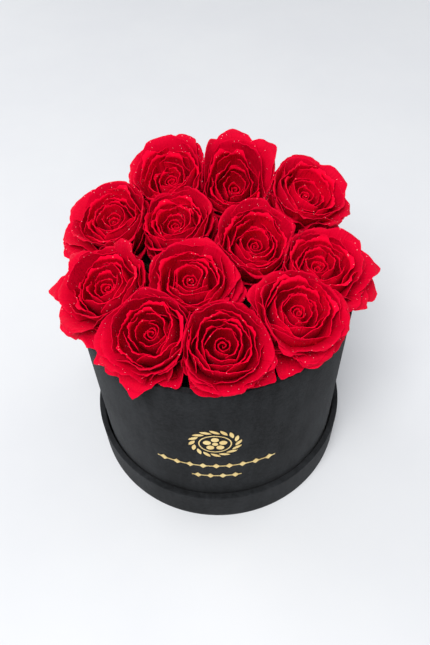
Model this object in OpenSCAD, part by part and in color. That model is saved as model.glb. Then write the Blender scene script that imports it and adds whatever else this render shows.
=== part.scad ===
// Round gift box of preserved roses, standing in its own upturned lid.
// Origin on the table, on the box's axis; +Z up; the foil emblem faces -Y.

/* [Box] */
// Outer radius of the covered box
box_r = 90; // [80:1:110]
// Height of the box itself, without the lid it stands in
box_h = 155.2; // [150:0.1:180]
// How far the covering is turned in over the rim
box_turn_in = 20; // [10:1:25]

/* [Lid] */
// Outer radius of the covered lid
lid_r = 95.5; // [95.2:0.1:97]
// Height of the lid's wall
lid_h = 31; // [25:1:40]
// How far the covering is turned in over the lid's rim
lid_turn_in = 15; // [8:1:18]
// Clear gap under the box where it stands in the lid
standing_gap = 0.1; // [0.1:0.1:0.3]

/* [Sheet stock] */
// Thickness of the grey board
board_t = 2.5; // [2:0.1:3]
// Thickness of the suede covering
suede_t = 0.8; // [0.5:0.1:1]
// Thickness of the lining paper
paper_t = 0.4; // [0.3:0.1:0.5]

/* [Foam] */
// Height of the foam's top above the table
foam_top = 126; // [110:1:128]
// Gap between the foam and the lining
foam_clear = 0.8; // [0.5:0.1:2]

/* [Rose heads] */
// Height of the bud, from the top of the calyx to its tip
bud_h = 40; // [36:1:42]
// Largest radius of the bud
bud_r = 6.2; // [5.5:0.1:6.4]
// Thickness of a petal
petal_t = 1; // [0.8:0.1:1.1]
// Half of the angle that a petal wraps around its head
petal_half = 34; // [28:1:35]
// How far an outer petal opens where nothing holds it
free_reach = 31; // [26:1:32]
// How far an outer petal opens where its neighbours hold it
packed_reach = 20; // [18:1:20]
// Gap left between the petals of neighbouring heads
head_gap = 1; // [0.8:0.1:2]

/* [Stems] */
// Radius of a stem
stem_r = 2.2; // [1.5:0.1:2.3]
// Length of a stem below the calyx's top
stem_l = 60; // [45:1:62]
// Clearance around a stem in the foam
stem_clear = 0.2; // [0.1:0.1:0.4]

/* [Emblem] */
// Height of the blossom's centre above the table
blossom_z = 102; // [95:1:110]
// Radius of the leaf wreath, to the middle of its leaves
wreath_r = 16.2; // [12:0.1:18]
// Thickness of the foil
foil_t = 0.25; // [0.2:0.05:0.4]

/* [Hidden] */
$fn = 64;
arc_fn = 256;

// Each head: distance of its bud's tip from the axis, its bearing, the tip's height and its lean outward.
HEADS = [
    [71, 114, 185, 16],
    [63, 77, 180, 1],
    [74, 36, 188, 19],
    [69, 158, 184, 12],
    [32, 139, 184, 5],
    [26, 4, 184, 5],
    [65, -12, 180, 2],
    [69, -154, 182, 13],
    [30, -115, 184, 5],
    [71, -47, 184, 15],
    [72, -118, 181, 21],
    [72, -85, 180, 22],
];
HEAD_NAMES = [for (i = [1:len(HEADS)]) str("rose_", i < 10 ? "0" : "", i)];

box_floor_z = suede_t + board_t + paper_t + standing_gap;
box_top_z = box_floor_z + box_h;
box_wall_z = box_floor_z + suede_t;
box_inner_r = box_r - suede_t - board_t;
lid_inner_r = lid_r - suede_t - board_t;
foam_z = box_wall_z + board_t;
shell_gap = 0.1;

calyx_r = 7.8;
calyx_flare = 3;
hip_r = 5.2;
hip_z = -5.5;
whorl_r = 7.6;
whorl_t = 0.8;
whorl_bore = 1.6;
stem_top = -2.5;
stem_fit = 0.05;
least_sag = 1.5;
outline_r = 19;

// ---- shared shapes ----

module ring(outer, inner, low, high) {
    translate([0, 0, low]) difference() {
        cylinder(r = outer, h = high - low);
        translate([0, 0, -1]) cylinder(r = inner, h = high - low + 2);
    }
}

module disc(r, low, high) {
    translate([0, 0, low]) cylinder(r = r, h = high - low);
}

// A wall's covering: up the outside, over the rim and turned in down the inside.
module wall_cover(outer, low, high, turn_in) {
    inner = outer - 2 * suede_t - board_t;
    rotate_extrude() difference() {
        translate([inner, low]) square([outer - inner, high - low]);
        translate([inner + suede_t, low - 1]) square([board_t, high - suede_t - low + 1]);
        translate([inner - 1, low - 1]) square([suede_t + 2, high - turn_in - low + 1]);
    }
}

// A thin strip along the arc from foot to tip; a positive sag bows it away from the head's axis.
module arc_strip(foot, tip, sag, thickness) {
    chord = tip - foot;
    length = norm(chord);
    side = [chord[1], -chord[0]] / length;
    radius = (length * length / 4 + sag * sag) / (2 * abs(sag));
    centre = (foot + tip) / 2 + side * (sag - sign(sag) * radius);
    intersection() {
        difference() {
            translate(centre) circle(radius + thickness / 2, $fn = arc_fn);
            translate(centre) circle(radius - thickness / 2, $fn = arc_fn);
        }
        polygon([centre, centre + 2 * (foot - centre), centre + 2 * (tip - centre)]);
    }
}

// ---- one rose head, with its calyx's top at the origin ----

// A petal standing on the +X side, round at its upper edge.
module petal(foot, tip, sag) {
    intersection() {
        rotate([0, 0, -petal_half])
            rotate_extrude(angle = 2 * petal_half) arc_strip([foot, 0], tip, sag, petal_t);
        rotate([90, 0, 90]) linear_extrude(tip[0] + 10) {
            translate([0, tip[1] - outline_r]) circle(outline_r);
            translate([-outline_r, 0]) square([2 * outline_r, tip[1] - outline_r]);
        }
    }
}

// Distance from head i to the plane halfway to its neighbours, along a bearing.
function room(i, bearing) = min([for (j = [0:len(HEADS) - 1]) if (j != i)
    let (
        away = place(j) - place(i),
        facing = cos(bearing - atan2(away[1], away[0]))
    )
    facing > 0.2 ? (norm(away) / 2 - head_gap) / facing : free_reach]);
function place(i) = HEADS[i][0] * [cos(HEADS[i][1]), sin(HEADS[i][1])];
function reach(i, turn) = max(packed_reach - 3, min([for (off = [-25, 0, 25])
    min(free_reach, room(i, HEADS[i][1] + turn + off))]));
function openness(i, turn) = max(0, (reach(i, turn) - packed_reach) / (free_reach - packed_reach));
function mix(a, b, share) = a + (b - a) * share;
function clear_of_flat(sag) = sag < 0 ? min(sag, -least_sag) : max(sag, least_sag);

module whorls(i) {
    step = 72;
    color("firebrick") {
        difference() {
            cylinder(r = whorl_r, h = whorl_t);
            translate([0, 0, -1]) cylinder(r = whorl_bore, h = whorl_t + 2);
        }
        for (k = [0:2]) rotate([0, 0, 120 * k + 18]) petal(2.6, [7.5, bud_h + 3], 3.5);
        for (k = [0:4]) rotate([0, 0, step * (k + 0.5)]) petal(4.1, [14, bud_h + 6], 2.5);
        for (k = [0:4]) {
            open = openness(i, step * k);
            tip = [reach(i, step * k), mix(bud_h + 6, bud_h - 3, open)];
            rotate([0, 0, step * k]) petal(6.7, tip, clear_of_flat(mix(3.5, -5, open)));
        }
    }
}

module heart() {
    belly = (bud_h * bud_h / 4 + 5.3 * 5.3) / (2 * 5.3);
    color("darkred") rotate_extrude() intersection() {
        translate([bud_r - belly, bud_h / 2]) circle(belly, $fn = arc_fn);
        square([bud_r + 1, bud_h]);
    }
}

module sepal() {
    intersection() {
        rotate([0, 0, -20]) rotate_extrude(angle = 40) arc_strip([5.5, -1.2], [14.5, -6], -1.6, 0.7);
        translate([0, 0, -10]) linear_extrude(12) polygon([[4, -2.2], [8, -3], [15, 0], [8, 3], [4, 2.2]]);
    }
}

module calyx() {
    color("olivedrab") difference() {
        union() {
            translate([0, 0, hip_z]) sphere(hip_r);
            translate([0, 0, -calyx_flare]) cylinder(r1 = 4.7, r2 = calyx_r, h = calyx_flare);
            for (k = [0:4]) rotate([0, 0, 72 * k]) sepal();
        }
        translate([0, 0, -20]) cylinder(r = stem_r + stem_fit, h = 20 + stem_top + stem_fit);
    }
}

module stem() {
    color("darkolivegreen") translate([0, 0, -stem_l]) cylinder(r = stem_r, h = stem_l + stem_top);
}

// Sets its children at head i: the bud's tip on its mark, leaning away from the box's axis.
module at_head(i) {
    head = HEADS[i];
    rotate([0, 0, head[1]]) translate([head[0], 0, head[2]])
        rotate([0, head[3], 0]) translate([0, 0, -bud_h]) children();
}

// ---- lid, upturned under the box ----

module lid_face_cover() {
    color([0.08, 0.08, 0.09]) disc(lid_r, 0, suede_t);
}

module lid_panel() {
    color("silver") disc(lid_inner_r, suede_t, suede_t + board_t);
}

module lid_wall() {
    color("silver") ring(lid_r - suede_t, lid_inner_r, suede_t, lid_h - suede_t);
}

module lid_wall_cover() {
    color([0.08, 0.08, 0.09]) wall_cover(lid_r, suede_t, lid_h, lid_turn_in);
}

module lid_lining() {
    color("dimgray") disc(lid_inner_r - shell_gap, suede_t + board_t, suede_t + board_t + paper_t);
}

// ---- box ----

module box_base_cover() {
    color([0.08, 0.08, 0.09]) disc(box_r, box_floor_z, box_wall_z);
}

module box_base() {
    color("silver") disc(box_inner_r, box_wall_z, foam_z);
}

module box_wall() {
    color("silver") ring(box_r - suede_t, box_inner_r, box_wall_z, box_top_z - suede_t);
}

module box_wall_cover() {
    color([0.08, 0.08, 0.09]) wall_cover(box_r, box_wall_z, box_top_z, box_turn_in);
}

module box_lining() {
    color("dimgray") ring(box_inner_r, box_inner_r - paper_t, foam_z, box_top_z - box_turn_in - shell_gap);
}

// Dry floral foam, drilled for the stems.
module foam_block() {
    color([0.12, 0.14, 0.12]) difference() {
        disc(box_inner_r - paper_t - foam_clear, foam_z, foam_top);
        for (i = [0:len(HEADS) - 1]) at_head(i)
            translate([0, 0, -stem_l - 0.5]) cylinder(r = stem_r + stem_clear, h = stem_l);
    }
}

// ---- foil emblem: a wreath around a blossom, over two beaded rules ----

module leaf(length, width) {
    radius = (length * length / 4 + width * width / 4) / width;
    intersection() {
        translate([0, radius - width / 2]) circle(radius);
        translate([0, width / 2 - radius]) circle(radius);
    }
}

module blossom() {
    petals = 5;
    for (k = [0:petals - 1]) rotate(360 / petals * k + 90) translate([5.4, 0]) circle(2.5);
    circle(1.9);
    difference() {
        circle(10.6);
        circle(9.8);
    }
    leaves = 16;
    for (k = [0:leaves - 1]) rotate(360 / leaves * k) translate([wreath_r - 1.4, 0]) rotate(58) leaf(7.6, 2.6);
}

module beaded_rule(length, beads) {
    pitch = length / beads;
    translate([-length / 2, -0.45]) square([length, 0.9]);
    for (k = [0:beads - 1]) translate([(k + 0.5 - beads / 2) * pitch, 0])
        polygon([[-2.6, 0], [0, -3.2], [2.6, 0], [0, 3.2]]);
}

module foil_emblem() {
    color("gold") intersection() {
        ring(box_r + 0.05 + foil_t, box_r + 0.05, lid_h + 5, box_top_z - 5);
        rotate([90, 0, 0]) linear_extrude(box_r + 5) {
            translate([0, blossom_z]) blossom();
            translate([0, blossom_z - 30.5]) beaded_rule(79, 9);
            translate([0, blossom_z - 45]) beaded_rule(34, 4);
        }
    }
}

lid_face_cover();
lid_panel();
lid_wall();
lid_wall_cover();
lid_lining();
box_base_cover();
box_base();
box_wall();
box_wall_cover();
box_lining();
foam_block();
foil_emblem();
for (i = [0:len(HEADS) - 1]) {
    at_head(i) stem();
    at_head(i) calyx();
    at_head(i) heart();
    at_head(i) whorls(i);
}
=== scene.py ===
"""Preserved red roses packed in a round suede box that stands in its upturned lid.

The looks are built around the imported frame: suede coverings with soft rims and a back seam, worn foil,
and twelve rose heads whose petals are grown layer by layer and pressed against their neighbours.
"""
import logging
import math
from dataclasses import dataclass, field
from enum import Enum
from typing import Any, Callable

import bmesh
import bpy
import numpy as np
from mathutils import Matrix, Vector


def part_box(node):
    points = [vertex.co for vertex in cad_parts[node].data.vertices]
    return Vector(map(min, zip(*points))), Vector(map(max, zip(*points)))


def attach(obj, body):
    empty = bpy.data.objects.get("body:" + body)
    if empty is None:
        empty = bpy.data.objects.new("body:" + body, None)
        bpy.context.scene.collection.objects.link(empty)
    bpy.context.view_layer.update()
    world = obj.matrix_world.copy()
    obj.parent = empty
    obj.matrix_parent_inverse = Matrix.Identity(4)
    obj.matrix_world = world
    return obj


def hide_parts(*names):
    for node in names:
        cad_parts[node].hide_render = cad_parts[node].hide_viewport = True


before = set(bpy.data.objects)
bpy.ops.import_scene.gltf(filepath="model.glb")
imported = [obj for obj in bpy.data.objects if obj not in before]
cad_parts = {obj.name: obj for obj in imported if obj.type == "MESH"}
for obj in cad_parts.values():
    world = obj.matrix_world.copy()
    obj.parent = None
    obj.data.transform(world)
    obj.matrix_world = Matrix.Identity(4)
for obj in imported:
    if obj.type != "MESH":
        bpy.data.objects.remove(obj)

LOG = logging.getLogger("rose_box")
MM = 0.001
WELD = 1e-6  # points closer than this, in metres, are one
Links = dict[str | int, Any]
Colour = tuple[float, float, float]
Array = np.ndarray
Shape = Callable[[Array, Array], Array]


# ---- shader writing ----


class Field:
    """A socket of a node tree that can be used in arithmetic."""

    def __init__(self, sheet: "Sheet", socket: bpy.types.NodeSocket) -> None:
        """Wraps one socket.

        Args:
            sheet: the node tree the socket belongs to.
            socket: an output socket.
        """
        self.sheet = sheet
        self.socket = socket

    def _math(self, operation: str, first: Any, second: Any) -> "Field":
        """One Math node on two values, either of which may be a number."""
        made = self.sheet.node("ShaderNodeMath", {"operation": operation}, {0: first, 1: second})
        return Field(self.sheet, made.outputs[0])

    def __add__(self, other: Any) -> "Field":
        """The sum with another field or number."""
        return self._math("ADD", self, other)

    __radd__ = __add__

    def __rsub__(self, other: Any) -> "Field":
        """Another number less this field."""
        return self._math("SUBTRACT", other, self)

    def __mul__(self, other: Any) -> "Field":
        """The product with another field or number."""
        return self._math("MULTIPLY", self, other)

    __rmul__ = __mul__

    def __lt__(self, other: Any) -> "Field":
        """1 where this is less, else 0."""
        return self._math("LESS_THAN", self, other)

    def span(self, low: float, high: float) -> "Field":
        """Maps low..high smoothly onto 0..1.

        Args:
            low: the value that becomes 0.
            high: the value that becomes 1.

        Returns:
            The mapped field.
        """
        settings = {"interpolation_type": "SMOOTHSTEP"}
        made = self.sheet.node("ShaderNodeMapRange", settings, {0: self, 1: low, 2: high, 3: 0.0, 4: 1.0})
        return Field(self.sheet, made.outputs[0])


class Sheet:
    """The node tree of one material, with its Principled shader already wired to the output."""

    def __init__(self, name: str) -> None:
        """Starts an empty material.

        Args:
            name: the material's name.
        """
        self.material = bpy.data.materials.new(name)
        self.material.use_nodes = True
        self.nodes = self.material.node_tree.nodes
        self.links = self.material.node_tree.links
        self.nodes.clear()
        self.shader = self.node("ShaderNodeBsdfPrincipled", {}, {})
        self.node("ShaderNodeOutputMaterial", {}, {"Surface": self.shader.outputs[0]})

    def node(self, kind: str, settings: dict[str, Any], inputs: Links) -> bpy.types.Node:
        """Adds a node.

        Args:
            kind: the node's type.
            settings: properties to set before the inputs.
            inputs: socket name or number to a value, a socket or a Field.

        Returns:
            The new node.
        """
        made = self.nodes.new(kind)
        for key, value in settings.items():
            setattr(made, key, value)
        for key, value in inputs.items():
            self._feed(made.inputs[key], value)
        return made

    def _feed(self, target: bpy.types.NodeSocket, value: Any) -> None:
        """Links a socket or sets a value.

        Args:
            target: the input socket.
            value: a Field, an output socket or a constant.
        """
        if isinstance(value, Field):
            self.links.new(value.socket, target)
        elif isinstance(value, bpy.types.NodeSocket):
            self.links.new(value, target)
        else:
            target.default_value = value

    def place(self) -> bpy.types.NodeSocket:
        """The surface point in the object's own coordinates."""
        return self.node("ShaderNodeTexCoord", {}, {}).outputs["Object"]

    def stretched(self, scale: Colour, turn: Colour = (0.0, 0.0, 0.0)) -> bpy.types.NodeSocket:
        """Object coordinates, turned and scaled.

        Args:
            scale: the factors along the three axes.
            turn: the rotation in radians.

        Returns:
            The vector socket.
        """
        made = self.node("ShaderNodeMapping", {}, {"Vector": self.place(), "Rotation": turn, "Scale": scale})
        return made.outputs[0]

    def noise(self, scale: float, detail: float = 3.0, vector: Any = None, roughness: float = 0.5) -> Field:
        """A noise field between 0 and 1.

        Args:
            scale: the number of lumps per metre, or per unit of vector.
            detail: the octaves.
            vector: where to read it, object coordinates if left out.
            roughness: how strong the finer octaves are.

        Returns:
            The field.
        """
        inputs = {"Vector": vector or self.place(), "Scale": scale, "Detail": detail, "Roughness": roughness}
        return Field(self, self.node("ShaderNodeTexNoise", {}, inputs).outputs[0])

    def attribute(self, name: str) -> Field:
        """A number stored on the mesh's points."""
        made = self.node("ShaderNodeAttribute", {"attribute_name": name}, {})
        return Field(self, made.outputs["Fac"])

    def mix(self, share: Any, first: Any, second: Any) -> bpy.types.NodeSocket:
        """Mixes two colours.

        Args:
            share: the factor.
            first: the colour at 0.
            second: the colour at 1.

        Returns:
            The mixed colour's socket.
        """
        pair = [(*c, 1.0) if isinstance(c, tuple) else c for c in (first, second)]
        inputs = {0: share, 6: pair[0], 7: pair[1]}
        return self.node("ShaderNodeMix", {"data_type": "RGBA"}, inputs).outputs[2]

    def bump(self, height: Field, strength: float, distance: float) -> bpy.types.NodeSocket:
        """Turns a height field into a normal.

        Args:
            height: the field.
            strength: 0 to 1.
            distance: the height in metres at field value 1.

        Returns:
            The normal's socket.
        """
        inputs = {"Strength": strength, "Distance": distance, "Height": height}
        return self.node("ShaderNodeBump", {}, inputs).outputs[0]

    def finish(self, inputs: Links) -> bpy.types.Material:
        """Feeds the Principled shader.

        Args:
            inputs: its sockets' values or links.

        Returns:
            The material.
        """
        for key, value in inputs.items():
            self._feed(self.shader.inputs[key], value)
        return self.material


# ---- finishes ----


@dataclass(frozen=True)
class PetalFinish:
    """A preserved petal: velvety, dusted with fine glitter, darker towards its foot (partly a deeper red,
    partly painted shade) and lighter along its lip (a painted highlight).
    """

    name: str
    # A deeper red, used for blotches and for each petal's tone, and towards the foot as partly real colour
    # and partly painted shade.
    deep_red_and_shade: Colour
    body: Colour
    # The colour laid along the lip: a painted highlight.
    lip: Colour
    shade_from: float = 0.45
    shade_to: float = 0.9
    crease: Colour = (0.36, 0.0, 0.012)
    glitter: Colour = (1.0, 0.72, 0.74)
    glitter_per_metre: float = 380.0
    glitter_size: float = 0.085
    cloud_per_metre: float = 70.0
    crease_per_metre: float = 240.0
    ribs_across: float = 16.0
    ribs_along: float = 1.6
    relief: float = 1.6 * MM

    def make(self) -> bpy.types.Material:
        """Builds the material.

        Returns:
            The material.
        """
        sheet = Sheet(self.name)
        along = sheet.attribute("along")
        tone = sheet.attribute("tone")
        cloud = sheet.noise(self.cloud_per_metre, 3.0)
        spot = {0: sheet.attribute("across") * self.ribs_across, 1: along * self.ribs_along, 2: tone * 40.0}
        ribs = sheet.noise(1.0, 3.0, sheet.node("ShaderNodeCombineXYZ", {}, spot).outputs[0])
        # Darker towards the foot: partly a deeper red and partly painted shade.
        body = sheet.mix(along.span(self.shade_from, self.shade_to), self.deep_red_and_shade, self.body)
        body = sheet.mix(cloud.span(0.35, 0.75) * 0.35, body, self.deep_red_and_shade)
        crease = sheet.noise(self.crease_per_metre, 5.0, None, 0.65)
        streak = ribs.span(0.5, 0.72) * 0.22 + crease.span(0.5, 0.72) * 0.22
        body = sheet.mix(streak, body, self.crease)
        body = sheet.mix(tone * 0.35, body, self.deep_red_and_shade)
        # Painted highlight along the lip.
        body = sheet.mix(along.span(0.955, 0.995) * 0.55, body, self.lip)
        cells = {"Vector": sheet.place(), "Scale": self.glitter_per_metre}
        dust = sheet.node("ShaderNodeTexVoronoi", {"feature": "F1"}, cells)
        speck = (Field(sheet, dust.outputs["Distance"]) < self.glitter_size) * along.span(0.4, 0.6)
        body = sheet.mix(speck * 0.6, body, self.glitter)
        return sheet.finish({
            "Base Color": body,
            "Roughness": 0.62 - speck * 0.4,
            "Normal": sheet.bump(ribs + cloud * 0.6 + crease * 0.5, 0.55, self.relief),
            "Sheen Weight": 0.08,
            "Sheen Roughness": 0.4,
            "Sheen Tint": (1.0, 0.0, 0.04, 1.0),
            "Specular IOR Level": 0.12,
            "Specular Tint": (1.0, 0.25, 0.3, 1.0),
        })


@dataclass(frozen=True)
class SuedeFinish:
    """Black suede paper with a short nap, brushed this way and that."""

    name: str
    dark: Colour
    light: Colour
    cloud_per_metre: float = 22.0
    stroke_per_metre: float = 110.0
    mottle_per_metre: float = 380.0
    grain_per_metre: float = 1800.0
    relief: float = 0.6 * MM

    def make(self) -> bpy.types.Material:
        """Builds the material.

        Returns:
            The material.
        """
        sheet = Sheet(self.name)
        strokes = sheet.stretched((1.0, 1.0, 0.22), (0.0, 0.6, 0.0))
        cloud = sheet.noise(self.cloud_per_metre, 4.0)
        brushed = sheet.noise(self.stroke_per_metre, 4.0, strokes, 0.65)
        mottle = sheet.noise(self.mottle_per_metre, 4.0, None, 0.7)
        grain = sheet.noise(self.grain_per_metre, 3.0, None, 0.7)
        nap = cloud.span(0.35, 0.65) * 0.3 + brushed.span(0.35, 0.65) * 0.3
        nap = nap + mottle.span(0.35, 0.65) * 0.3 + grain.span(0.35, 0.65) * 0.1
        return sheet.finish({
            "Base Color": sheet.mix(nap, self.dark, self.light),
            "Roughness": 0.9 + grain * 0.1,
            "Normal": sheet.bump(grain + mottle + brushed * 0.6, 0.4, self.relief),
            "Sheen Weight": 0.05,
            "Sheen Roughness": 0.4,
            "Sheen Tint": (0.85, 0.88, 0.92, 1.0),
            "Specular IOR Level": 0.1,
        })


@dataclass(frozen=True)
class FoilFinish:
    """Hot-pressed foil, satin, a little rubbed where the nap comes through."""

    name: str
    gold: Colour
    shade: Colour
    wear_per_metre: float = 700.0
    cloud_per_metre: float = 90.0
    relief: float = 0.3 * MM

    def make(self) -> bpy.types.Material:
        """Builds the material.

        Returns:
            The material.
        """
        sheet = Sheet(self.name)
        wear = sheet.noise(self.wear_per_metre, 4.0)
        cloud = sheet.noise(self.cloud_per_metre, 2.0)
        return sheet.finish({
            "Base Color": sheet.mix(cloud.span(0.3, 0.7), self.gold, self.shade),
            "Metallic": 1.0 - wear.span(0.68, 0.8) * 0.6,
            "Roughness": 0.34 + wear * 0.2,
            "Normal": sheet.bump(wear, 0.3, self.relief),
        })


@dataclass(frozen=True)
class PlainFinish:
    """Board, paper, foam and stems: a colour broken up by fibres, cells or streaks."""

    name: str
    dark: Colour
    light: Colour
    scale: float
    stretch: Colour = (1.0, 1.0, 1.0)
    roughness: float = 0.85
    relief: float = 0.4 * MM
    patch_share: float = 0.06

    def make(self) -> bpy.types.Material:
        """Builds the material.

        Returns:
            The material.
        """
        sheet = Sheet(self.name)
        fibre = sheet.noise(self.scale, 5.0, sheet.stretched(self.stretch), 0.65)
        patch = sheet.noise(self.scale * self.patch_share, 3.0)
        return sheet.finish({
            "Base Color": sheet.mix(fibre.span(0.3, 0.7) * 0.7 + patch * 0.3, self.dark, self.light),
            "Roughness": self.roughness - fibre * 0.1,
            "Normal": sheet.bump(fibre, 0.5, self.relief),
        })


class Finish(Enum):
    """Every finish on the object."""

    # The petal finishes are lit and shaded copies of one red. The cups' inner faces are the lit copy, their
    # foot kept almost as light as their body: painted light in the shaded cups.
    PETAL = PetalFinish("petal", (0.82, 0.0, 0.023), (0.84, 0.0, 0.028), (0.82, 0.0, 0.032))
    # A darker copy for the outer petals' inner faces: painted shade that tones them down where the lamps fall
    # strongest.
    OUTER_PETAL_SHADED = PetalFinish("outer_petal_shaded", (0.50, 0.0, 0.015), (0.61, 0.0, 0.023), (0.74, 0.0, 0.030))
    # The cups' outer faces: dark until near the lip, painted shade from the petals around them.
    PETAL_BACK = PetalFinish("petal_back", (0.30, 0.0, 0.011), (0.80, 0.0, 0.026), (0.84, 0.0, 0.032),
                             shade_from=0.74, shade_to=0.985)
    # The outer petals' outer faces: darker and dark farther up, painted shade from the petals around them.
    OUTER_BACK = PetalFinish("outer_back", (0.42, 0.0, 0.013), (0.63, 0.0, 0.023), (0.74, 0.0, 0.032),
                             shade_from=0.55, shade_to=0.95)
    # Darker than the cups: painted shade in the middle of the head.
    HEART = PetalFinish("heart_petal_painted_shade", (0.60, 0.0, 0.018), (0.76, 0.0, 0.020), (0.82, 0.0, 0.030))
    SUEDE = SuedeFinish("suede_nap", (0.004, 0.0044, 0.0048), (0.0225, 0.0238, 0.026))
    FOIL = FoilFinish("pressed_foil", (1.0, 0.80, 0.38), (0.90, 0.66, 0.27))
    BOARD = PlainFinish("board_pulp", (0.30, 0.285, 0.26), (0.48, 0.46, 0.43), 700.0, (1.0, 1.0, 4.0))
    LINING = PlainFinish("lining_paper", (0.02, 0.02, 0.022), (0.04, 0.04, 0.043), 1500.0, relief=0.1 * MM)
    # Near black so that the foam paints the deep shade in the gaps between the heads.
    FOAM = PlainFinish("foam_cells_painted_shade", (0.008, 0.010, 0.008), (0.024, 0.030, 0.022), 1400.0, relief=1.2 * MM)
    GREEN = PlainFinish("calyx_green", (0.03, 0.05, 0.015), (0.09, 0.13, 0.045), 500.0, (1.0, 1.0, 0.3))
    STEM = PlainFinish("stem_green", (0.04, 0.05, 0.018), (0.12, 0.13, 0.055), 600.0, (1.0, 1.0, 0.15))
    FLOOR = PlainFinish("floor", (0.60, 0.61, 0.63), (0.64, 0.65, 0.66), 3.0, relief=0.0)

    def material(self) -> bpy.types.Material:
        """The finish's material, made once.

        Returns:
            The material.
        """
        return bpy.data.materials.get(self.value.name) or self.value.make()


# ---- pieces ----


SPIN_STEPS = 256
LIP_CROWDING = 1.7  # above 1, a grid's rows are closer together near v = 1, where petals roll


def show(made: bpy.types.Object) -> None:
    """Puts an object in the scene."""
    bpy.context.scene.collection.objects.link(made)


def stand(bm: bmesh.types.BMesh, name: str, finish: Finish, body: str, nodes: list[str],
          smooth: bool = True) -> bpy.types.Object:
    """Turns a finished bmesh into a piece that rides on its body.

    Args:
        bm: the mesh, already in place; it is freed.
        name: the piece's name.
        finish: what it is made of.
        body: the CAD body it rides on.
        nodes: the CAD nodes it stands for.
        smooth: whether its faces are smooth shaded.

    Returns:
        The piece.
    """
    mesh = bpy.data.meshes.new(name)
    for face in bm.faces:
        face.smooth = smooth
    bm.to_mesh(mesh)
    bm.free()
    piece = bpy.data.objects.new(name, mesh)
    show(piece)
    mesh.materials.append(finish.material())
    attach(piece, body)
    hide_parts(*nodes)
    LOG.info("%s: %d faces on %s", name, len(mesh.polygons), body)
    return piece


def grown(bm: bmesh.types.BMesh, across: int, along: int,
          shape: Shape) -> list[tuple[bmesh.types.BMVert, float, float]]:
    """Adds a grid and sets its points by a formula.

    Args:
        bm: the mesh to add to.
        across: the number of faces across.
        along: the number of faces along.
        shape: turns u (-1 to 1) and v (0 to 1) into rows of x, y, z in millimetres.

    Returns:
        Each new point with its u and v.
    """
    verts = bmesh.ops.create_grid(bm, x_segments=across, y_segments=along, size=1.0)["verts"]
    u = np.array([vert.co.x for vert in verts])
    v = 1.0 - (1.0 - (np.array([vert.co.y for vert in verts]) + 1.0) / 2.0) ** LIP_CROWDING
    for vert, point in zip(verts, shape(u, v)):
        vert.co = point * MM
    return list(zip(verts, u, v))


def thicken(piece: bpy.types.Object, thickness: float) -> bpy.types.Modifier:
    """Gives a sheet its thickness, half to either side.

    Args:
        piece: the sheet.
        thickness: its thickness in millimetres.

    Returns:
        The modifier.
    """
    shell = piece.modifiers.new("thickness", "SOLIDIFY")
    shell.thickness = thickness * MM
    shell.offset = 0.0
    return shell


def section(corners: list[tuple[float, float]],
            closed: bool) -> tuple[bmesh.types.BMesh, list[bmesh.types.BMVert]]:
    """Draws half a section of a round sheet.

    Args:
        corners: radius and height of each corner, in metres.
        closed: whether the last corner is joined to the first.

    Returns:
        The mesh and its corners' points.
    """
    bm = bmesh.new()
    loop = [bm.verts.new((radius, 0.0, height)) for radius, height in corners]
    for first, second in zip(loop, loop[1:] + (loop[:1] if closed else [])):
        bm.edges.new((first, second))
    return bm, loop


def spin(bm: bmesh.types.BMesh) -> None:
    """Spins a section round the box's axis.

    Args:
        bm: the mesh that holds the section.
    """
    bmesh.ops.spin(bm, geom=bm.edges[:], cent=(0, 0, 0), axis=(0, 0, 1), angle=math.tau,
                   steps=SPIN_STEPS, use_merge=True, use_duplicate=False)
    bmesh.ops.remove_doubles(bm, verts=bm.verts[:], dist=WELD)
    bmesh.ops.recalc_face_normals(bm, faces=bm.faces[:])


@dataclass
class FaceCover:
    """A round sheet of suede on a flat face, softly rounded where it meets the wall's covering."""

    node: str
    body: str
    rounding: float = 0.85

    def build(self) -> bpy.types.Object:
        """Spins the sheet's half section round the box's axis.

        Returns:
            The piece.
        """
        low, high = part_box(self.node)
        bm, loop = section([(0.0, low.z), (high.x, low.z), (high.x, high.z), (0.0, high.z)], closed=False)
        bmesh.ops.bevel(bm, geom=[loop[1]], offset=self.rounding * (high.z - low.z), offset_type="OFFSET",
                        segments=4, profile=0.5, affect="VERTICES", material=-1)
        spin(bm)
        return stand(bm, self.node.replace("_cover", "_suede"), Finish.SUEDE, self.body,
                     [self.node], smooth=False)


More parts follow.
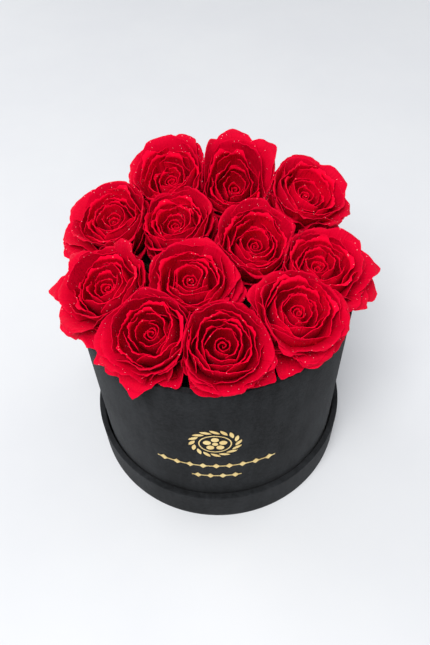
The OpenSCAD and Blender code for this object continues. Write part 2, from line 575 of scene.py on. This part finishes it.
@dataclass
class WallCover:
    """Suede paper up the outside of a wall, over its rim and turned in."""

    node: str
    body: str
    turn_in: float
    thickness: float = 0.8 * MM
    board: float = 2.5 * MM
    rounding: float = 0.9
    seam_width: float = 11.0 * MM
    seam_lift: float = 0.22 * MM
    wave: float = 0.12 * MM
    long_side: float = 4.0 * MM
    cuts: int = 12

    def build(self) -> bpy.types.Object:
        """Spins the hook-shaped section round the box's axis and raises the seam at the back.

        Returns:
            The piece.
        """
        low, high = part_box(self.node)
        outer = high.x
        inner = outer - 2 * self.thickness - self.board
        hem, under = high.z - self.turn_in, high.z - self.thickness
        bm, loop = section([
            (outer, low.z), (outer, high.z), (inner, high.z), (inner, hem), (inner + self.thickness, hem),
            (inner + self.thickness, under), (outer - self.thickness, under), (outer - self.thickness, low.z),
        ], closed=True)
        bmesh.ops.bevel(bm, geom=loop[1:3], offset=self.rounding * self.thickness, offset_type="OFFSET",
                        segments=5, profile=0.5, affect="VERTICES", material=-1)
        sides = [edge for edge in bm.edges if edge.calc_length() > self.long_side]
        bmesh.ops.subdivide_edges(bm, edges=sides, cuts=self.cuts)
        spin(bm)
        for vert in bm.verts:
            self._settle(vert, outer)
        return stand(bm, self.node.replace("_wall_cover", "_suede"), Finish.SUEDE, self.body,
                     [self.node])

    def _settle(self, vert: bmesh.types.BMVert, outer: float) -> None:
        """Gives a point of the outer face its share of the seam's lap and of the wall's slight waviness.

        Args:
            vert: the point.
            outer: the outer face's radius.
        """
        radius = math.hypot(vert.co.x, vert.co.y)
        if radius < outer - 0.5 * self.thickness:
            return
        bearing = math.atan2(vert.co.y, vert.co.x)
        along = (bearing - math.pi / 2) * outer
        lap = self.seam_lift if 0.0 <= along <= self.seam_width else 0.0
        wave = self.wave * math.sin(7 * bearing + 31 * vert.co.z) * math.sin(3 * bearing - 17 * vert.co.z)
        scale = (radius + lap + wave) / radius
        vert.co.x *= scale
        vert.co.y *= scale


# ---- roses ----


# How every petal grows. Lengths are in millimetres.
PETAL_LENGTH = 45.0  # the length on which lips and points are measured
FULL_SPREAD = 30.0  # the spread of a head of middling size
CLOSED_REACH = 9.0  # a petal that reaches no farther stands upright
OPEN_REACH = 35.0  # a petal that reaches farther lies open
GIVE = 7.0  # how long before its limit a petal starts to yield
BUD_TOP = 40.0  # the height of the innermost tips
TOP_STEPS = ((6.0, 1.0, 9.0), (3.0, 9.0, 22.0), (-12.0, 24.0, 40.0))  # height gained between two reaches
SAG_REACH = (20.0, 34.0)  # where a petal starts to sag, and where it sags in full
HELD_LOSS = 0.15  # height lost for each millimetre that a petal is held back
FOOT_WIDTH = 0.42  # the foot's share of the full width
WIDEST = 0.62  # where along the petal it has its full width
POINT_WIDTH = 0.24  # half the width of a pointed tip, as a share of the petal's half width
LONGEST = 1.2  # how far past its nominal tip a ragged petal may go, as a share of its length
# The handles of the curve along a petal's middle, upright and open: share of reach, offset, share of top.
HANDLES = (
    ((1.2, 1.5, 0.30), (0.30, 2.0, 0.52)),
    ((1.32, 0.5, 0.78), (0.62, 0.0, 1.03)),
)


class Whorl(Enum):
    """The families of petals in one head, from the middle outwards: node, slot, outer and inner finish."""

    BUD = ("heart", "rose_heart", Finish.PETAL_BACK, Finish.HEART)
    CUP = ("petals", "rose_petal", Finish.PETAL_BACK, Finish.PETAL)
    OUTER = ("petals", "rose_petal", Finish.OUTER_BACK, Finish.OUTER_PETAL_SHADED)


def ease(low: float, high: float, value: Array | float) -> Array | float:
    """A smooth step.

    Args:
        low: where it leaves 0.
        high: where it reaches 1.
        value: what to map.

    Returns:
        The eased value between 0 and 1.
    """
    share = np.clip((value - low) / (high - low), 0.0, 1.0)
    return share * share * (3.0 - 2.0 * share)


@dataclass
class Petal:
    """One petal in its head's own frame, in millimetres: +Z along the head's axis, foot on the calyx."""

    turn: float
    wrap: float
    rim: float
    foot: float
    rise: float = 0.0
    spiral: float = 0.6
    drop: float = 0.3
    taper: float = 2.6
    stretch: float = 1.0
    point: float = 0.0
    lip: float = 0.07
    lip_turn: float = 1.4
    ruffle: float = 0.5
    ragged: float = 0.009
    jag: float = 0.0
    curl: float = 0.6
    sag: float = 0.0
    tone: float = 0.0
    phase: float = 0.0
    across: int = 26
    along: int = 22

    def place(self, u: Array, v: Array, room: Callable[[Array], Array]) -> Array:
        """Where the petal's points lie.

        Args:
            u: -1 to 1 across the petal.
            v: 0 at its foot to 1 at its tip.
            room: a function from bearings to the free distance that way.

        Returns:
            One row of x, y, z for each point.
        """
        width = FOOT_WIDTH + (1.0 - FOOT_WIDTH) * np.sin(np.clip(v / WIDEST, 0, 1) * math.pi / 2)
        swing = u * self.wrap * width
        bearing = self.turn + swing
        wander = np.sin(3.1 * u + self.phase) + 0.6 * np.sin(7.3 * u + 2.1 * self.phase)
        tears = np.sin((15.0 + self.phase) * u + 5.0 * self.phase) * np.sin(8.0 * u + 3.0 * self.phase)
        tall = v * (1.0 - self.drop * np.abs(u) ** self.taper) + (0.010 * wander + self.ragged * tears) * v**3
        notches = 0.6 - np.abs(np.sin((5.0 + self.phase) * u + self.phase))
        tall = tall + self.jag * notches * v**4
        tall = tall + self.point * np.exp(-((u / POINT_WIDTH) ** 2)) * v**6 / PETAL_LENGTH
        space = room(bearing) * self.stretch
        follow = 0.5 * min(self.rim / FULL_SPREAD, 1.0) ** 2
        wish = self.rim * (1.0 + follow * (space / FULL_SPREAD - 1.0)) + self.spiral * swing
        reach = self._soft_limit(wish, space)
        top = BUD_TOP + self.rise - HELD_LOSS * (wish - reach) - self.sag * ease(*SAG_REACH, reach)
        for gain, low, high in TOP_STEPS:
            top = top + gain * ease(low, high, reach)
        r, z, tr, tz = self._profile(np.clip(tall, 0, LONGEST), reach, top)
        angle = np.clip((tall - (1.0 - self.lip)) / self.lip, 0.0, LONGEST) * self.lip_turn
        radius = self.lip * PETAL_LENGTH / self.lip_turn
        out = radius * (1.0 - np.cos(angle))
        out = out + self.curl * ease(0.55, 1.0, np.abs(u)) ** 2 * 3.0 * v**2
        out = out + self.ruffle * (wander * v**4 + 0.5 * tears * v**8)
        back = radius * (np.sin(angle) - angle)
        r = r + tz * out + tr * back
        z = z - tr * out + tz * back
        return np.stack([r * np.cos(bearing), r * np.sin(bearing), z], axis=1)

    @staticmethod
    def _soft_limit(wish: Array, room: Array) -> Array:
        """Eases a wished reach under the room there is, keeping the order of the layers.

        Args:
            wish: how far the petal would reach.
            room: how far it may reach.

        Returns:
            How far it does reach.
        """
        start = room - GIVE
        return np.where(wish < start, wish, start + GIVE * (1.0 - np.exp(-(wish - start) / GIVE)))

    def _profile(self, t: Array, reach: Array,
                 top: Array) -> tuple[Array, Array, Array, Array]:
        """The curve along the petal's middle, between that of a closed bud and that of an open face.

        Args:
            t: shares of the petal's length.
            reach: how far from the axis the tip is.
            top: how high the tip is.

        Returns:
            Radius, height, and the two parts of the unit tangent.
        """
        open_ = ease(CLOSED_REACH, OPEN_REACH, reach)
        ends = np.stack([np.full_like(t, self.foot), np.zeros_like(t)])
        first, second = (
            np.stack([(shut[0] * reach + shut[1]) * (1 - open_) + (wide[0] * reach + wide[1]) * open_,
                      shut[2] * top * (1 - open_) + wide[2] * top * open_])
            for shut, wide in HANDLES)
        last = np.stack([reach, top])
        s = 1.0 - t
        spot = s**3 * ends + 3 * s * s * t * first + 3 * s * t * t * second + t**3 * last
        slope = 3 * s * s * (first - ends) + 6 * s * t * (second - first) + 3 * t * t * (last - second)
        slope = slope / np.maximum(np.linalg.norm(slope, axis=0), 1e-9)
        return spot[0], spot[1], slope[0], slope[1]


@dataclass
class Feature:
    """A petal that stands out of its head, placed by its bearing in the box: 0 right, 90 back, 180 left."""

    bearing: float
    rim: float
    rise: float = 0.0
    point: float = 3.5
    wrap: float = 46.0
    stretch: float = 0.98
    lip: float = 0.06
    lip_turn: float = 1.0
    drop: float = 0.3
    taper: float = 1.4
    tone: float = 0.2

    def petal(self, start: float) -> Petal:
        """Turns the feature into a petal of its head.

        Args:
            start: the bearing in the box of the head's own zero.

        Returns:
            The petal.
        """
        return Petal(math.radians(self.bearing) - start, wrap=math.radians(self.wrap), rim=self.rim, foot=4.0,
                     rise=self.rise, spiral=0.0, drop=self.drop, taper=self.taper, stretch=self.stretch,
                     point=self.point, lip=self.lip, lip_turn=self.lip_turn, ruffle=0.7, jag=0.03, curl=1.4,
                     tone=self.tone, phase=math.radians(self.bearing % 360.0))


@dataclass
class Character:
    """What makes one head its own: how it is turned, how full it is, and where it looks."""

    spin: float
    seed: int
    nod: float
    spread: tuple[float, float, float, float]
    lift: float = 0.0
    features: tuple[Feature, ...] = ()

    @property
    def size(self) -> float:
        """The head's mean spread."""
        return sum(self.spread) / 4

    def reach(self, ways: Array) -> Array:
        """How far the head would spread if it stood alone.

        Args:
            ways: rows of x and y of unit directions in the box's frame.

        Returns:
            The distances in millimetres.
        """
        right, back, left, front = self.spread
        sideways = np.where(ways[0] > 0, right, left)
        lengthways = np.where(ways[1] > 0, back, front)
        return sideways * ways[0] ** 2 + lengthways * ways[1] ** 2


@dataclass
class Stalk:
    """What holds one head up: the stem in the foam, and the hip with its sepals. In millimetres."""

    name: str
    knots: float
    basis: Array
    top: Array
    length: float
    stem_radius: float = 2.2
    stem_top: float = 2.5
    slant: float = 1.5
    hip_radius: float = 5.2
    hip_middle: float = 5.0
    hip_height: float = 10.4
    flare: float = 7.6
    sepals: int = 5
    sepal_start: float = 5.4
    sepal_length: float = 9.0
    sepal_half: float = 3.0
    sepal_fall: float = 5.2
    sheet: float = 0.5

    def _stand(self, x: Array, y: Array, z: Array) -> Array:
        """Moves points from the stalk's own frame to the box's."""
        return np.stack([x, y, z], axis=1) @ self.basis.T + self.top

    def _stem(self, u: Array, v: Array) -> Array:
        """A slightly knotty stem, cut at a slant.

        Args:
            u: -1 to 1 around it.
            v: 0 at its top to 1 at its cut.

        Returns:
            One row of x, y, z for each point.
        """
        angle = math.pi * u
        girth = self.stem_radius * (0.95 + 0.04 * np.sin(3 * angle + self.knots) * np.sin(9 * v))
        z = -self.stem_top - v * (self.length - self.slant * (1.0 + np.cos(angle)))
        return self._stand(girth * np.cos(angle), girth * np.sin(angle), z)

    def _hip(self, u: Array, v: Array) -> Array:
        """The round hip, flaring out under the petals.

        Args:
            u: -1 to 1 around it.
            v: 0 at its bottom to 1 at its top.

        Returns:
            One row of x, y, z for each point.
        """
        angle = math.pi * u
        level = (v * 9.5 - self.hip_middle) / self.hip_radius
        bulb = self.hip_radius * np.sqrt(np.clip(1.0 - level**2, 0.0, 1.0))
        girth = np.maximum(bulb, self.flare * ease(0.62, 1.0, v)) * (1.0 + 0.03 * np.cos(5 * angle))
        return self._stand(girth * np.cos(angle), girth * np.sin(angle), (v - 1.0) * self.hip_height - 0.1)

    def _sepal(self, turn: float) -> Shape:
        """One pointed sepal, bent down.

        Args:
            turn: its bearing.

        Returns:
            The function that shapes it.
        """
        def shape(u: Array, v: Array) -> Array:
            """The sepal's points.

            Args:
                u: -1 to 1 across it.
                v: 0 at its foot to 1 at its tip.

            Returns:
                One row of x, y, z for each point.
            """
            wide = self.sepal_half * np.sin(np.clip(0.25 + 0.75 * v, 0, 1) * math.pi) ** 0.8 * u
            out = self.sepal_start + self.sepal_length * v
            z = -1.0 - self.sepal_fall * v**1.4 - 0.4 * u * u
            x = out * math.cos(turn) - wide * math.sin(turn)
            y = out * math.sin(turn) + wide * math.cos(turn)
            return self._stand(x, y, z)

        return shape

    def build(self) -> None:
        """Builds the stem and the calyx."""
        bm = bmesh.new()
        grown(bm, 16, 24, self._stem)
        bmesh.ops.remove_doubles(bm, verts=bm.verts[:], dist=WELD)
        bmesh.ops.holes_fill(bm, edges=bm.edges[:], sides=0)
        bmesh.ops.recalc_face_normals(bm, faces=bm.faces[:])
        stand(bm, f"{self.name}_stalk", Finish.STEM, "flower_box", [f"{self.name}_stem"])
        bm = bmesh.new()
        grown(bm, 24, 12, self._hip)
        for k in range(self.sepals):
            grown(bm, 6, 10, self._sepal(math.tau * k / self.sepals))
        bmesh.ops.remove_doubles(bm, verts=bm.verts[:], dist=WELD)
        bmesh.ops.recalc_face_normals(bm, faces=bm.faces[:])
        piece = stand(bm, f"{self.name}_sepals", Finish.GREEN, "flower_box",
                      [f"{self.name}_calyx"])
        thicken(piece, self.sheet)


@dataclass
class RoseHead:
    """One preserved rose among its neighbours. Lengths are in millimetres."""

    number: int
    character: Character
    bud: float = 40.0
    golden: float = math.radians(137.5)
    bud_petals: int = 6
    cup_petals: int = 13
    outer_petals: int = 9
    guard_petals: int = 6
    petal_sheet: float = 0.38
    bend: float = 26.0
    lift_from: float = 2.0
    lift_to: float = 24.0
    roundness: float = 9.0
    overlap: float = 3.5
    squeeze_from: float = 3.0
    squeeze_give: float = 4.2
    squeeze_rise: float = 0.25
    rim_radius: float = 84.0
    rim_width: float = 9.0
    rim_height: float = 161.5
    inner_slope: float = 2.0
    outer_slope: float = 1.2
    softness: float = 0.04
    tip: Vector = field(default_factory=Vector)
    stalk: Vector = field(default_factory=Vector)
    axis: Vector = field(default_factory=Vector)

    @property
    def name(self) -> str:
        """The head's name in the frame."""
        return f"rose_{self.number:02d}"

    def measure(self) -> None:
        """Reads the head's place and lean from its stem and heart, whose middles lie on its axis."""
        low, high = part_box(f"{self.name}_heart")
        heart = (low + high) / 2
        low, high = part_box(f"{self.name}_stem")
        self.stalk = (heart - (low + high) / 2).normalized()
        self.tip = heart / MM + self.stalk * (self.bud / 2)
        self.axis = Matrix.Rotation(self.character.nod, 3, "X") @ self.stalk

    def basis(self, axis: Vector) -> Array:
        """A head's own frame.

        Args:
            axis: the direction of its Z.

        Returns:
            Its axes as columns: outward, sideways, and along the given axis.
        """
        away = Vector((self.tip.x, self.tip.y, 0.0)).normalized()
        side = axis.cross(away).normalized()
        out = side.cross(axis)
        return np.array([out, side, axis]).T

    def start(self) -> float:
        """The bearing in the box of the head's own zero."""
        basis = self.basis(self.axis)
        return math.atan2(basis[1, 0], basis[0, 0])

    def settle(self, points: Array) -> Array:
        """Sets a petal on the calyx and bends it over to the way the head faces.

        Args:
            points: rows of x, y, z in the head's own frame.

        Returns:
            The points in the box's frame, in millimetres.
        """
        tip = np.array(self.tip)
        local = points - np.array([0.0, 0.0, self.bud])
        upright = local @ self.basis(self.stalk).T + tip
        nodding = local @ self.basis(self.axis).T + tip
        share = ease(0.0, self.bend, points[:, 2])[:, None]
        placed = upright + share * (nodding - upright)
        behind = placed[:, 1] - self._axis_at(placed[:, 2])[:, 1]
        placed[:, 2] += self.character.lift * ease(self.lift_from, self.lift_to, behind)
        return placed

    def layers(self) -> dict[Whorl, list[Petal]]:
        """Grows the head's petals from the middle outwards.

        Returns:
            The petals of each whorl.
        """
        dice = np.random.default_rng(self.character.seed)
        turn = self.character.spin
        whorls: dict[Whorl, list[Petal]] = {whorl: [] for whorl in Whorl}

        def add(whorl: Whorl, **shape: float) -> None:
            """Adds the next petal to a whorl."""
            whorls[whorl].append(Petal(turn, tone=dice.uniform(0, 1), phase=dice.uniform(0, 6), **shape))

        for k in range(self.bud_petals):
            turn += self.golden * dice.uniform(0.85, 1.15)
            add(Whorl.BUD, wrap=math.radians(140 - 9 * k), rim=0.7 + 0.75 * k, foot=0.5,
                rise=dice.uniform(-1.0, 0.6) - 0.4, spiral=0.35, drop=0.05, lip=0.025, lip_turn=0.8,
                ruffle=0.2, curl=0.1, across=30, along=14)
        for k in range(self.cup_petals):
            turn += self.golden * dice.uniform(0.86, 1.14)
            add(Whorl.CUP, wrap=math.radians(72 - 1.5 * k + dice.uniform(-12, 10)),
                rim=6.4 + 0.98 * k + dice.uniform(-0.8, 0.8), foot=1.4 + 0.1 * k,
                rise=dice.uniform(-4.6, 2.6), spiral=0.5, drop=0.07 + 0.012 * k,
                taper=dice.uniform(1.8, 3.2), point=dice.uniform(-1.2, 1.2), lip=0.045 + 0.003 * k,
                lip_turn=0.75 + 0.04 * k, ruffle=0.3 + 0.05 * k, ragged=0.011, curl=0.2 + 0.04 * k)
        for k in range(self.outer_petals):
            turn += self.golden * dice.uniform(0.9, 1.1)
            add(Whorl.OUTER, wrap=math.radians(60 - k + dice.uniform(-5, 5)),
                rim=20.0 + 2.0 * k + dice.uniform(-1, 1), foot=2.6 + 0.2 * k, rise=dice.uniform(-3.0, 2.0),
                drop=0.2 + 0.015 * k, taper=dice.uniform(1.3, 2.2), stretch=dice.uniform(0.93, 1.07),
                point=dice.uniform(-1.0, 5.0), lip=0.035 + 0.006 * k, lip_turn=0.7 + 0.08 * k,
                ruffle=0.8 + 0.05 * k, ragged=0.012, jag=0.02 + 0.004 * k, curl=0.9 + 0.14 * k, sag=0.3 * k)
        for k in range(self.guard_petals):
            turn += self.golden
            add(Whorl.OUTER, wrap=math.radians(50), rim=36.0 + k, foot=4.6, rise=-9.0 - 1.5 * k, spiral=1.0,
                taper=dice.uniform(1.1, 1.6), stretch=dice.uniform(0.97, 1.12), point=dice.uniform(1.0, 7.0),
                lip=0.06, lip_turn=1.1, ruffle=1.0, ragged=0.01, jag=0.04, curl=1.6, sag=1.0)
        whorls[Whorl.OUTER] += [feature.petal(self.start()) for feature in self.character.features]
        return whorls

    def _border(self, other: "RoseHead", gap: float | Array) -> float | Array:
        """How much of the gap to another head is this head's."""
        return gap * self.character.size / (self.character.size + other.character.size)

    def room(self, others: list["RoseHead"]) -> Callable[[Array], Array]:
        """Makes the function that says how far this head may spread in a direction.

        Args:
            others: the other heads in the box.

        Returns:
            A function from bearings in the head's frame to millimetres.
        """
        start = self.start()

        def measure(bearing: Array) -> Array:
            """The free distance that way, rounded off between neighbours.

            Args:
                bearing: bearings in the head's frame.

            Returns:
                The distances in millimetres.
            """
            ways = np.stack([np.cos(bearing + start), np.sin(bearing + start)])
            crowd = self.character.reach(ways) ** -self.roundness
            for other in others:
                gap = np.array([other.tip.x - self.tip.x, other.tip.y - self.tip.y])
                size = np.linalg.norm(gap)
                facing = np.maximum((gap / size) @ ways, 0.05)
                limit = (self._border(other, size) + self.overlap) / facing
                crowd = crowd + limit**-self.roundness
            return crowd ** (-1.0 / self.roundness)

        return measure

    def press(self, points: Array, others: list["RoseHead"]) -> Array:
        """Presses points against the neighbouring heads and keeps them off the box's rim.

        Args:
            points: rows of x, y, z in millimetres, in the box's frame.
            others: the other heads in the box.

        Returns:
            The settled points.
        """
        points = points.copy()
        for other in others:
            mine = self._axis_at(points[:, 2])
            gap = other._axis_at(points[:, 2]) - mine
            size = np.maximum(np.linalg.norm(gap, axis=1), 1.0)
            way = gap / size[:, None]
            along = ((points[:, :2] - mine) * way).sum(axis=1)
            over = np.maximum(along - self._border(other, size) + self.squeeze_from, 0.0)
            eased = self.squeeze_give * (1.0 - np.exp(-over / self.squeeze_give))
            points[:, :2] -= way * (over - eased)[:, None]
            points[:, 2] += self.squeeze_rise * (over - eased)
        radius = np.hypot(points[:, 0], points[:, 1])
        floor = self.rim_height - self.inner_slope * np.maximum(self.rim_radius - radius, 0.0)
        floor = floor - self.outer_slope * np.maximum(radius - self.rim_radius - self.rim_width, 0.0)
        under = points[:, 2] < floor
        points[:, 2] = np.where(under, floor + self.softness * (points[:, 2] - floor), points[:, 2])
        return points

    def _axis_at(self, height: Array) -> Array:
        """Where the head's bent axis crosses the given heights.

        Args:
            height: the heights in millimetres.

        Returns:
            One row of x and y for each.
        """
        drop = (height - self.tip.z)[:, None]
        share = ease(-self.bud, self.bend - self.bud, drop)
        upright = drop * np.array(self.stalk.xy) / self.stalk.z
        nodding = drop * np.array(self.axis.xy) / self.axis.z
        return np.array(self.tip.xy) + upright + share * (nodding - upright)

    def build(self, heads: list["RoseHead"]) -> None:
        """Builds the head's petals, one piece for each whorl.

        Args:
            heads: every head in the box.
        """
        others = [head for head in heads if head is not self]
        room = self.room(others)
        for whorl, petals in self.layers().items():
            bm = bmesh.new()
            along, tone, across = (bm.verts.layers.float.new(name) for name in ("along", "tone", "across"))
            for petal in petals:
                def shape(u: Array, v: Array, petal: Petal = petal) -> Array:
                    """The petal settled among its neighbours."""
                    return self.press(self.settle(petal.place(u, v, room)), others)

                for vert, side, share in grown(bm, petal.across, petal.along, shape):
                    vert[along] = share
                    vert[across] = side
                    vert[tone] = petal.tone
            node, slot, back, face = whorl.value
            piece = stand(bm, f"{self.name}_{whorl.name.lower()}", back, "flower_box",
                          [f"{self.name}_{node}"])
            piece.data.materials.append(face.material())
            shell = thicken(piece, self.petal_sheet)
            shell.material_offset = 1
            shell.material_offset_rim = 1

    def stand_on_stem(self) -> None:
        """Builds the calyx and the stem that is pushed into the foam."""
        basis = self.basis(self.stalk)
        top = np.array(self.tip) - basis[:, 2] * self.bud
        low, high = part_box(f"{self.name}_stem")
        middle = np.linalg.norm(top - np.array((low + high) / 2) / MM)
        Stalk(self.name, float(self.number), basis, top, 2.0 * (middle - Stalk.stem_top)).build()


@dataclass
class Bouquet:
    """The twelve heads."""

    characters: tuple[Character, ...] = (
        Character(0.3, 11, 0.45, (27, 33, 33, 27), 7.0, features=(
            Feature(100, 33, 1.0), Feature(165, 33, -2.0), Feature(60, 30, 2.0))),
        Character(1.7, 12, 0.40, (33, 34, 28, 25), 11.0, features=(
            Feature(91, 34, 3.0, 8.0, 52), Feature(38, 34, 4.0, 5.0, 40, 1.04),
            Feature(140, 31, 4.0, 4.0, 46, 1.04))),
        Character(4.1, 13, 0.40, (34, 31, 29, 31), 2.0, features=(
            Feature(35, 33, 2.0, 3.0), Feature(-15, 33, -1.0, 2.0), Feature(100, 31, 0.0))),
        Character(2.6, 14, 0.24, (25, 29, 39, 29), 3.0, features=(
            Feature(150, 35, 0.0), Feature(188, 35, 0.0, 1.5))),
        Character(5.3, 15, 0.24, (28, 25, 25, 24), 2.0, features=(
            Feature(15, 27, 3.0, 0.0, 62, drop=0.12, taper=3.0),)),
        Character(0.9, 16, 0.30, (28, 29, 27, 27), 3.0, features=(
            Feature(8, 29, 2.0, 6.0, 40, 1.12), Feature(95, 28, 3.0, 3.0))),
        Character(3.3, 17, 0.14, (39, 28, 24, 35), 2.0, features=(
            Feature(5, 36, 0.0), Feature(45, 33, 1.0, 2.0), Feature(-40, 35, -8.0, 3.0))),
        Character(1.1, 18, 0.10, (28, 26, 39, 33), 1.0, features=(
            Feature(170, 36, 1.0, 6.0, 34), Feature(132, 33, 2.0, 9.0, 30, 1.05), Feature(215, 34, -5.0, 3.0),
            Feature(48, 26, 7.0, 5.0, 30, 1.2))),
        Character(4.9, 19, 0.16, (35, 30, 31, 27), 0.0, features=(
            Feature(-54, 31, 2.5, 4.0, 30, 1.12, lip=0.22, lip_turn=1.9, tone=0.0), Feature(5, 33, 0.0, 2.0),
            Feature(-24, 34, -3.0, 2.0, 42, 1.18))),
        Character(2.2, 20, 0.06, (31, 27, 30, 33), 0.0, features=(
            Feature(-75, 32, -6.0, 4.0, 44), Feature(-20, 32, 0.0, 3.0), Feature(-110, 31, -2.0, 4.0, 36),
            Feature(166, 33, -3.0, 2.0, 44, 1.16))),
        Character(5.9, 21, 0.04, (27, 28, 38, 32), 0.0, features=(
            Feature(-86, 31, -4.0, 0.5, 48, 0.84), Feature(-58, 30, -4.0, 2.0, 38, 0.92),
            Feature(200, 34, -3.0, 5.0, 32), Feature(178, 33, 2.0, 2.0, 56))),
        Character(3.8, 22, 0.02, (35, 30, 28, 30), 0.0, features=(
            Feature(-84, 30, -6.0, 6.0, 44), Feature(-15, 33, -2.0, 4.0), Feature(-130, 29, -3.0, 3.0, 40))),
    )

    def build(self) -> None:
        """Measures every head, then grows each among its neighbours."""
        heads = [RoseHead(n + 1, character) for n, character in enumerate(self.characters)]
        for head in heads:
            head.measure()
        for head in heads:
            head.build(heads)
            head.stand_on_stem()


@dataclass
class Box:
    """The box and its upturned lid."""

    def build(self) -> None:
        """Builds the four coverings and gives the other sheets, the foam and the foil their finishes."""
        WallCover("box_wall_cover", "flower_box", turn_in=20 * MM).build()
        WallCover("lid_wall_cover", "lid_tray", turn_in=15 * MM).build()
        FaceCover("box_base_cover", "flower_box").build()
        FaceCover("lid_face_cover", "lid_tray").build()
        finishes = {
            Finish.BOARD: ["lid_panel", "lid_wall", "box_base", "box_wall"],
            Finish.LINING: ["lid_lining", "box_lining"],
            Finish.FOAM: ["foam_block"],
            Finish.FOIL: ["foil_emblem"],
        }
        for finish, names in finishes.items():
            for name in names:
                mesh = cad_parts[name].data
                mesh.materials.clear()
                mesh.materials.append(finish.material())


@dataclass
class Studio:
    """A pale floor, soft light from above and from two windows, and the camera."""

    floor_half: float = 3.0
    camera_place: tuple[float, float, float] = (9.8 * MM, -273.1 * MM, 448.0 * MM)
    yaw: float = math.radians(2.185)
    pitch: float = math.radians(50.89)
    roll: float = math.radians(-2.187)
    lens: float = 34.24
    sensor: float = 36.0
    sky: float = 0.46
    aim: tuple[float, float, float] = (0.0, 0.0, 0.12)

    def build(self) -> None:
        """Sets the floor, the lights and the camera."""
        bm = bmesh.new()
        bmesh.ops.create_grid(bm, x_segments=4, y_segments=4, size=self.floor_half)
        mesh = bpy.data.meshes.new("floor")
        bm.to_mesh(mesh)
        bm.free()
        floor = bpy.data.objects.new("floor", mesh)
        show(floor)
        mesh.materials.append(Finish.FLOOR.material())
        self._world()
        self._light("overhead", (-0.35, -0.9, 1.8), 1.0, 43.0)
        self._light("window", (-1.5, 1.0, 0.8), 1.4, 14.0)
        self._light("far_window", (1.6, 0.8, 0.8), 1.4, 10.0)
        self._camera()

    def _world(self) -> None:
        """A soft, even sky."""
        world = bpy.data.worlds.new("soft_sky")
        world.use_nodes = True
        back = world.node_tree.nodes["Background"]
        back.inputs["Color"].default_value = (0.93, 0.95, 1.0, 1.0)
        back.inputs["Strength"].default_value = self.sky
        bpy.context.scene.world = world
        bpy.context.scene.view_settings.view_transform = "Standard"

    def _light(self, name: str, place: tuple[float, float, float], size: float, power: float) -> None:
        """Adds a square soft light that faces the box.

        Args:
            name: the light's name.
            place: where it hangs, in metres.
            size: its side.
            power: its power in watts.
        """
        data = bpy.data.lights.new(name, "AREA")
        data.size = size
        data.energy = power
        lamp = bpy.data.objects.new(name, data)
        show(lamp)
        lamp.location = place
        aim = Vector(self.aim) - lamp.location
        lamp.rotation_mode = "QUATERNION"
        lamp.rotation_quaternion = aim.to_track_quat("-Z", "Y")

    def _camera(self) -> None:
        """Looks down at the box from in front."""
        data = bpy.data.cameras.new("camera")
        data.lens = self.lens
        data.sensor_width = self.sensor
        camera = bpy.data.objects.new("camera", data)
        show(camera)
        ahead = Vector((-math.sin(self.yaw) * math.cos(self.pitch), math.cos(self.yaw) * math.cos(self.pitch),
                        -math.sin(self.pitch)))
        right = Vector((math.cos(self.yaw), math.sin(self.yaw), 0.0))
        above = right.cross(ahead)
        rolled = math.cos(self.roll) * right + math.sin(self.roll) * above
        above = -math.sin(self.roll) * right + math.cos(self.roll) * above
        turn = Matrix((rolled, above, -ahead)).transposed().to_4x4()
        camera.matrix_world = Matrix.Translation(self.camera_place) @ turn
        bpy.context.scene.camera = camera


def main() -> None:
    """Builds the studio, the box and the bouquet."""
    logging.basicConfig(level=logging.INFO, format="%(name)s %(message)s")
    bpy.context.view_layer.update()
    Studio().build()
    Box().build()
    Bouquet().build()


if __name__ == "__main__":
    main()
